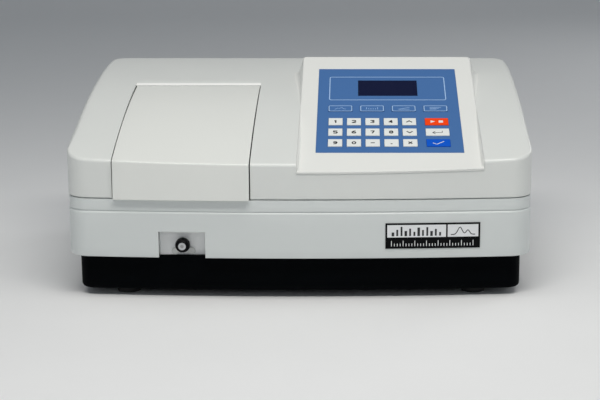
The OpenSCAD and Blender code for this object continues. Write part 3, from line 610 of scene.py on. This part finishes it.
def digit(text, cx, cy, h, width):
    """Plain digit shapes from straight strokes."""
    w = h * 0.7
    x0, x1, y0, ym, y1 = cx - w / 2, cx + w / 2, cy - h / 2, cy, cy + h / 2
    oval = lambda ox, oy, rx, ry: [(ox + rx * math.cos(math.radians(30 * (k % 12))),
                                    oy + ry * math.sin(math.radians(30 * (k % 12))))
                                   for k in range(13)]
    high, low = oval(cx, cy + h * 0.25, w * 0.46, h * 0.25), oval(cx, cy - h * 0.24, w * 0.5, h * 0.26)
    d = {"1": [[(cx - w * 0.3, y1 - h * 0.22), (cx + w * 0.05, y1), (cx + w * 0.05, y0)]],
         "2": [[(x0, y1 - h * 0.18), (x0 + w * 0.2, y1), (x1 - w * 0.2, y1), (x1, y1 - h * 0.2),
                (x1, ym + h * 0.08), (x0, y0), (x1, y0)]],
         "3": [[(x0, y1), (x1, y1), (cx, ym + h * 0.08), (x1 - w * 0.1, ym), (x1, y0 + h * 0.25),
                (x1 - w * 0.25, y0), (x0, y0 + h * 0.08)]],
         "4": [[(x1 - w * 0.25, y0), (x1 - w * 0.25, y1), (x0, y0 + h * 0.28), (x1, y0 + h * 0.28)]],
         "5": [[(x1, y1), (x0, y1), (x0, ym + h * 0.04), (x1 - w * 0.2, ym + h * 0.04), (x1, ym - h * 0.12),
                (x1, y0 + h * 0.16), (x1 - w * 0.2, y0), (x0, y0)]],
         "6": [[(x1 - w * 0.1, y1), (x0 + w * 0.35, y1 - h * 0.1), (x0, y1 - h * 0.4), (x0, y0 + h * 0.3)],
               low],
         "7": [[(x0, y1), (x1, y1), (cx - w * 0.1, y0)]],
         "8": [high, low],
         "9": [high, [(x0 + w * 0.1, y0), (x1 - w * 0.35, y0 + h * 0.1), (x1, y0 + h * 0.4),
                      (x1, y1 - h * 0.3)]],
         "0": [oval(cx, cy, w / 2, h / 2)],
         "-": [[(x0, ym), (x1, ym)]],
         ".": [[(cx - width * 0.6, y0 + width * 0.5), (cx + width * 0.6, y0 + width * 0.5)]],
         "^": [[(cx - h * 0.58, ym - h * 0.26), (cx, ym + h * 0.34), (cx + h * 0.58, ym - h * 0.26)]],
         "v": [[(cx - h * 0.58, ym + h * 0.26), (cx, ym - h * 0.34), (cx + h * 0.58, ym + h * 0.26)]],
         "x": [[(x0, y0 + h * 0.1), (x1, y1 - h * 0.1)], [(x0, y1 - h * 0.1), (x1, y0 + h * 0.1)]]}
    return d[text]


GRID = [["key_9", "key_5", "key_1"], ["key_0", "key_6", "key_2"], ["key_minus", "key_7", "key_3"],
        ["key_point", "key_8", "key_4"], ["key_clear", "key_down", "key_up"],
        ["key_enter", "key_return", "key_start"]]
SIGNS = {"key_minus": "-", "key_point": ".", "key_up": "^", "key_down": "v", "key_clear": "x"}
legends_dark, legends_light, legends_white = [], [], []


def key_place(column, row):
    return (KEY_U + KEY_PITCH_U * column if column < 5 else WIDE_KEY_U), KEY_V + KEY_PITCH_V * row


def ink(points, width):
    return stroke(points, width, INK_LOW, INK_HIGH)


def patch(points):
    return prism(points, INK_LOW, INK_HIGH, on_console)


def key_marks(name, cu, cv):
    """The printing of one key round its middle, and the list that it belongs to."""
    if name == "key_return":
        return legends_dark, [ink([(cu + 5, cv + 2.4), (cu + 5, cv - 1.2), (cu - 5, cv - 1.2)], 0.9),
                              ink([(cu - 2.4, cv + 1.4), (cu - 5.4, cv - 1.2), (cu - 2.4, cv - 3.8)], 0.9)]
    if name == "key_start":
        return legends_light, [patch([(cu - 6.5, cv - 2.6), (cu - 1.6, cv), (cu - 6.5, cv + 2.6)]),
                               patch([(cu + 2.2, cv - 2.3), (cu + 6.8, cv - 2.3), (cu + 6.8, cv + 2.3),
                                      (cu + 2.2, cv + 2.3)])]
    if name == "key_enter":
        return legends_light, [ink([(cu - 6, cv - 0.2), (cu - 1.8, cv - 3.0), (cu + 6, cv + 3.0)], 1.0)]
    parts = []
    for line in digit(SIGNS.get(name, name[-1]), cu, cv, DIGIT_H, DOT_SIZE):
        for piece in ([line] if line[0] == line[-1] else zip(line, line[1:])):
            parts.append(ink(piece, DIGIT_STROKE))
    return legends_dark, parts


def function_marks(i, cu, cv):
    """Plain icons for the function keys: a curve, a row of bars, an angle and lines of a table."""
    return [[[(cu - 6, cv - 2.2), (cu - 3, cv + 0.5), (cu - 1, cv - 0.5), (cu + 1.5, cv + 2.4),
              (cu + 4, cv - 1.6), (cu + 6, cv - 1.2)]],
            [[(cu - 6 + 2.4 * k, cv - 2), (cu - 6 + 2.4 * k, cv + (0.2 if k % 5 else 2))] for k in range(6)],
            [[(cu - 6, cv - 2), (cu + 6, cv + 2)], [(cu - 6, cv - 2), (cu + 6, cv - 2)]],
            [[(cu - 6, cv + 1.8 - 1.8 * k), (cu + 6 - 2.5 * k, cv + 1.8 - 1.8 * k)] for k in range(3)]][i]


def build_legends():
    for column, names in enumerate(GRID):
        for row, name in enumerate(names):
            group, parts = key_marks(name, *key_place(column, row))
            group.append(make(name + "_legend", *merged(*parts), body=name + "_cap"))
    for i in range(4):
        name = "function_key_%d" % (i + 1)
        cu, cv = FUNCTION_U + FUNCTION_PITCH * i, FUNCTION_V
        parts = [ring_strip(cu - 12.7, cu + 12.7, cv - 6.15, cv + 6.15, 1.8, 0.8, INK_LOW, INK_HIGH)]
        parts += [ink(line, 0.55) for line in function_marks(i, cu, cv)]
        legends_white.append(make(name + "_outline", *merged(*parts), body=name + "_cap"))
    frame_line = ring_strip(-64.6, 63.9, 151.5, 205.5, 2.6, 0.9, -0.05, 0.05)
    legends_white.append(make("display_outline", *frame_line))


# ---------------------------------------------------------------- nameplate marks
def bow_slab(x0, x1, z0, z1, depth0, depth1):
    steps = 14
    xs = [x0 + (x1 - x0) * i / steps for i in range(steps + 1)]
    outline = [(x, z0) for x in xs] + [(x, z1) for x in reversed(xs)]
    return rings([[(x, front_y(x) - d, z) for x, z in outline] for d in (depth0, depth1)], True, True)


def build_nameplate():
    """Two pale cells with a bar pattern and a spectrum curve, over a scale of ticks."""
    light = [bow_slab(x0, x1, 67.2, 80.2, PLATE_LOW, PLATE_MID) for x0, x1 in ((90.2, 150.5), (152.2, 183.8))]
    on_bow = lambda x, z, d: (x, front_y(x) - d, z)
    for k in range(29):
        x = 94.5 + 3.0 * k
        light.append(stroke([(x, 58.0), (x, 60.4 if k % 4 else 63.4)], 0.7, PLATE_LOW, PLATE_MID, on_bow))
    dark = []
    for k, h in enumerate((2.5, 5.5, 8.6, 4.0, 6.6, 3.2, 7.4, 5.0, 8.0, 3.6, 6.0, 2.6)):
        x = 96.0 + 4.4 * k
        width = 1.9 if k % 3 else 2.6
        dark.append(stroke([(x, 69.2), (x, 69.2 + h)], width, PLATE_INK, PLATE_HIGH, on_bow))
    peak = lambda i, height, middle, spread: height * math.exp(-((i - middle) / spread) ** 2)
    curve = [(155.5 + 25.0 * i / 40, 69.6 + peak(i, 7.6, 15, 5.0) + peak(i, 4.6, 28, 4.0)) for i in range(41)]
    dark.append(stroke(curve, 0.9, PLATE_INK, PLATE_HIGH, on_bow))
    return make("nameplate_cells", *merged(*light)), make("nameplate_marks", *merged(*dark))


# ---------------------------------------------------------------- materials
NOISE_LOW, NOISE_HIGH, ROUGH_SPAN = 0.1, 0.9, 0.05


def material(name, colour, rough, metal=0.0, grain=900.0, bump=0.04, spread=0.03, bevel=0.0, transmission=0.0,
             spec=0.5):
    """A procedural surface: fine grain over broad patches drives its colour, roughness and relief."""
    mat = bpy.data.materials.new(name)
    mat.use_nodes = True
    tree = mat.node_tree
    tree.nodes.clear()
    new, link = tree.nodes.new, tree.links.new
    out = new("ShaderNodeOutputMaterial")
    bsdf = new("ShaderNodeBsdfPrincipled")
    link(bsdf.outputs["BSDF"], out.inputs["Surface"])
    coord = new("ShaderNodeTexCoord")
    fine = new("ShaderNodeTexNoise")
    fine.inputs["Scale"].default_value = grain
    fine.inputs["Detail"].default_value = 3.0
    link(coord.outputs["Object"], fine.inputs["Vector"])
    broad = new("ShaderNodeTexNoise")
    broad.inputs["Scale"].default_value = 14.0
    broad.inputs["Detail"].default_value = 4.0
    link(coord.outputs["Object"], broad.inputs["Vector"])
    ramp = new("ShaderNodeValToRGB")
    low = [c * (1 - spread) for c in colour]
    high = [min(1.0, c * (1 + spread)) for c in colour]
    ramp.color_ramp.elements[0].position = NOISE_LOW
    ramp.color_ramp.elements[1].position = NOISE_HIGH
    ramp.color_ramp.elements[0].color = (*low, 1)
    ramp.color_ramp.elements[1].color = (*high, 1)
    blend = new("ShaderNodeMix")
    blend.data_type = "FLOAT"
    blend.inputs["Factor"].default_value = 0.3
    link(broad.outputs["Fac"], blend.inputs["A"])
    link(fine.outputs["Fac"], blend.inputs["B"])
    link(blend.outputs["Result"], ramp.inputs["Fac"])
    link(ramp.outputs["Color"], bsdf.inputs["Base Color"])
    span = new("ShaderNodeMapRange")
    span.inputs["From Min"].default_value = NOISE_LOW
    span.inputs["From Max"].default_value = NOISE_HIGH
    span.inputs["To Min"].default_value = max(0.02, rough - ROUGH_SPAN)
    span.inputs["To Max"].default_value = min(1.0, rough + ROUGH_SPAN)
    link(broad.outputs["Fac"], span.inputs["Value"])
    link(span.outputs["Result"], bsdf.inputs["Roughness"])
    bsdf.inputs["Metallic"].default_value = metal
    bsdf.inputs["Specular IOR Level"].default_value = spec
    bsdf.inputs["Transmission Weight"].default_value = transmission
    relief = new("ShaderNodeBump")
    relief.inputs["Strength"].default_value = bump
    relief.inputs["Distance"].default_value = 0.0004
    link(fine.outputs["Fac"], relief.inputs["Height"])
    if bevel:
        soft = new("ShaderNodeBevel")
        soft.samples = 4
        soft.inputs["Radius"].default_value = bevel * MM
        link(soft.outputs["Normal"], relief.inputs["Normal"])
    link(relief.outputs["Normal"], bsdf.inputs["Normal"])
    return mat


MATS = {
    "cover": material("cover_plastic", (0.735, 0.75, 0.725), 0.32, bevel=0.5, bump=0.01, spread=0.012,
              spec=0.7),
    # The lid's plastic is the cover's made a little lighter: painted light, so the flap and lid top read
    # brighter.
    "lid": material("lid_plastic_painted_light", (0.79, 0.8, 0.765), 0.32, bevel=0.5, bump=0.01, spread=0.012, spec=0.7),
    "lower": material("lower_plastic", (0.67, 0.70, 0.69), 0.38, bevel=0.4, bump=0.01, spread=0.012),
    # The console is the housing's plastic made lighter: painted light for its sloped face, which catches more
    # light.
    "console": material("console_plastic", (0.81, 0.815, 0.785), 0.34, bevel=0.4, bump=0.01, spread=0.012),
    "base": material("base_paint", (0.0008, 0.0014, 0.002), 0.6, grain=1600, bump=0.3, spread=0.2, bevel=0.4,
              spec=0.03),
    "panel": material("panel_paint", (0.03, 0.032, 0.036), 0.5, grain=1600, bump=0.1, spread=0.1, bevel=0.3,
              spec=0.3),
    "rubber": material("foot_rubber", (0.015, 0.015, 0.015), 0.8, bump=0.2, spread=0.2, bevel=0.5),
    "screw": material("screw_steel", (0.52, 0.53, 0.53), 0.42, metal=0.9, bump=0.05, spread=0.12, bevel=0.4),
    # Darker grey for the disc on the pull rod's end: painted shade for its flat face beside the bright
    # chamfer.
    "pan": material("rod_end_painted_shade", (0.33, 0.335, 0.33), 0.5, metal=0.3, bump=0.05, spread=0.08, bevel=0.5),
    "zinc": material("zinc_screw", (0.56, 0.57, 0.56), 0.5, metal=0.3, bump=0.05, spread=0.08, bevel=0.5),
    # Lower-cover plastic pushed to near-white: painted light on the back plate of the finger pocket, which
    # lies in shade.
    "liner_painted_light": material("pocket_liner_painted_light", (0.94, 0.945, 0.94), 0.5, bump=0.03, spread=0.012, bevel=0.3),
    # Near-white copy of the cover's plastic: painted highlight for the leaning ledge behind the lid, which
    # faces the light.
    "ledge_highlight": material("ledge_painted_highlight", (0.93, 0.93, 0.91), 0.36, bump=0.03, spread=0.012, bevel=0.3),
    "film": material("blue_film", (0.055, 0.155, 0.385), 0.45, grain=1500, bump=0.05, spread=0.03, bevel=0.15,
              spec=0.3),
    "lcd": material("dark_window", (0.005, 0.008, 0.036), 0.16, grain=400, bump=0.0, spread=0.2, bevel=0.2,
              spec=0.06),
    "board": material("board", (0.03, 0.16, 0.07), 0.4, grain=300, spread=0.3),
    "white_key": material("white_key", (0.81, 0.83, 0.81), 0.42, bump=0.03, spread=0.01, bevel=0.35),
    "orange_key": material("orange_key", (0.95, 0.06, 0.002), 0.5, bump=0.03, spread=0.03, bevel=0.35,
              spec=0.12),
    "blue_key": material("blue_key", (0.0, 0.09, 0.58), 0.5, bump=0.03, spread=0.03, bevel=0.35, spec=0.12),
    "ink": material("dark_ink", (0.012, 0.012, 0.015), 0.6, bump=0.0, spread=0.1),
    "pale_ink": material("pale_ink", (0.42, 0.60, 0.86), 0.55, bump=0.0, spread=0.03),
    "white_ink": material("white_ink", (0.80, 0.81, 0.82), 0.5, bump=0.0, spread=0.02),
    "black": material("black_plastic", (0.003, 0.003, 0.0035), 0.42, bump=0.08, spread=0.2, bevel=0.5,
              spec=0.1),
    "gloss": material("black_gloss", (0.002, 0.0025, 0.003), 0.35, bump=0.02, spread=0.2, bevel=0.2,
              spec=0.08),
    "steel": material("bright_steel", (0.55, 0.56, 0.57), 0.3, metal=1.0, grain=500, bump=0.05, spread=0.08,
              bevel=0.3),
    "anodised": material("black_anodised", (0.02, 0.02, 0.022), 0.45, metal=0.3, grain=1400, bump=0.12,
                         spread=0.2, bevel=0.4),
    "cast": material("cast_aluminium", (0.42, 0.43, 0.44), 0.5, metal=0.9, grain=700, bump=0.2, spread=0.1,
              bevel=0.5),
    "plate": material("plated_sheet", (0.45, 0.46, 0.47), 0.4, metal=0.9, grain=60, bump=0.03, spread=0.15,
              bevel=0.4),
    "optics": material("coated_glass", (0.6, 0.68, 0.75), 0.06, metal=0.9, grain=200, bump=0.0, spread=0.05,
              bevel=0.2),
    "lamp": material("lamp_glass", (0.85, 0.85, 0.80), 0.08, grain=200, bump=0.0, spread=0.02,
              transmission=0.6),
}
NODE_MATS = {
    "rubber_feet": "rubber", "case_screws": "screw", "keypad_overlay": "film", "display_window": "lcd",
    "display_module": "board", "keypad_board": "board", "hinge_rod": "steel", "nameplate": "gloss",
    "sample_well": "anodised", "guide_screws": "zinc", "cuvette_holder": "anodised", "pull_rod": "steel",
    "rod_knob": "black", "rear_panel": "panel", "power_inlet": "black", "switch_frame": "black",
    "switch_rocker": "black", "data_port": "screw", "fan_frame": "black", "fan_rotor": "black",
    "fan_guard": "screw", "optical_bench": "cast", "monochromator": "anodised", "grating_table": "optics",
    "stepper_motors": "plate", "filter_wheel": "anodised", "fixed_optics": "optics", "lamp_house": "plate",
    "source_lamps": "lamp",
    "lamp_mirror": "optics", "detector_housing": "anodised", "main_board": "board", "power_supply": "plate",
    "key_start": "orange_key", "key_enter": "blue_key"}


def paint(obj, key):
    obj.data.materials.clear()
    obj.data.materials.append(MATS[key])


def dress(obj, key):
    paint(obj, key)


dress(build_top_cover(), "cover")
# The ledge behind the lid gets the painted highlight: cover plastic drawn near-white.
dress(build_riser(), "ledge_highlight")
dress(build_lower_cover(), "lower")
dress(bpy.data.objects["seam_tongue"], "lower")
dress(bpy.data.objects["pocket_walls"], "lower")
# The pocket's back plate gets the painted light: near-white against the shade of the recess.
dress(bpy.data.objects["pocket_plate"], "liner_painted_light")
dress(build_base(), "base")
# The disc on the rod end carries the painted shade.
dress(build_rod_end(), "pan")
# The lid and its ribs take the lightened plastic: painted light.
dress(build_lid(), "lid")
dress(bpy.data.objects["sample_lid_ribs"], "lid")
dress(build_console(), "console")
build_legends()
for obj in legends_dark:
    dress(obj, "ink")
for obj in legends_light:
    dress(obj, "white_ink")
for obj in legends_white:
    dress(obj, "pale_ink")
cells, marks = build_nameplate()
dress(cells, "white_ink")
dress(marks, "ink")
for name, obj in nodes.items():
    if name.startswith("function_key"):
        paint(obj, "film")
    elif name.startswith("key_"):
        paint(obj, NODE_MATS.get(name, "white_key"))
    elif name in NODE_MATS:
        paint(obj, NODE_MATS[name])

# ---------------------------------------------------------------- floor, light and camera
floor_verts = [(-6000, -3000, 0), (6000, -3000, 0)]
floor_faces = []
for k in range(0, 25):
    a = math.radians(90 * k / 24)
    y, z = 2600 + 1400 * math.sin(a), 1400 - 1400 * math.cos(a)
    floor_verts += [(-6000, y, z), (6000, y, z)]
floor_verts += [(-6000, 4000, 5200), (6000, 4000, 5200)]
for k in range(len(floor_verts) // 2 - 1):
    floor_faces.append((2 * k, 2 * k + 1, 2 * k + 3, 2 * k + 2))
floor = make("floor", floor_verts, floor_faces, body=None, smooth=60)
floor.data.materials.append(material("floor_paper", (0.84, 0.84, 0.84), 0.8, grain=120, bump=0.0,
                                     spread=0.01))

world = bpy.data.worlds.new("studio")
bpy.context.scene.world = world
world.use_nodes = True
world.node_tree.nodes["Background"].inputs["Color"].default_value = (0.86, 0.93, 1.0, 1)
world.node_tree.nodes["Background"].inputs["Strength"].default_value = 0.25


def softbox(name, place, aim, size, power, colour=(1, 1, 1)):
    light = bpy.data.lights.new(name, "AREA")
    light.color = colour
    light.shape = "RECTANGLE"
    light.size, light.size_y = size
    light.energy = power
    obj = bpy.data.objects.new(name, light)
    bpy.context.scene.collection.objects.link(obj)
    obj.location = place
    obj.rotation_euler = (Vector(aim) - Vector(place)).to_track_quat("-Z", "Y").to_euler()
    return obj


softbox("key_light", (0.1, -0.85, 1.42), (0, -0.05, 0.13), (1.4, 0.22), 12.2, (1.0, 0.98, 0.94))
softbox("top_light", (0, -0.3, 1.0), (0, -0.15, 0.1), (1.6, 0.15), 2.4, (1.0, 0.98, 0.94))
softbox("front_light", (-0.2, -2.2, 0.85), (0, 0, 0.1), (1.6, 0.5), 2.5, (0.94, 0.975, 1.0))
softbox("back_light", (1.8, 1.5, 1.1), (0, 0.1, 0.1), (1.2, 0.8), 7)

camera_data = bpy.data.cameras.new("camera")
camera = bpy.data.objects.new("camera", camera_data)
bpy.context.scene.collection.objects.link(camera)
camera.location = (0.0585, -1.6567, 0.4501)
camera.rotation_euler = (math.radians(77), 0, 0)
camera_data.lens = 90
camera_data.sensor_width = 36
camera_data.shift_x = -0.0938
bpy.context.scene.camera = camera
bpy.context.scene.view_settings.view_transform = "Standard"
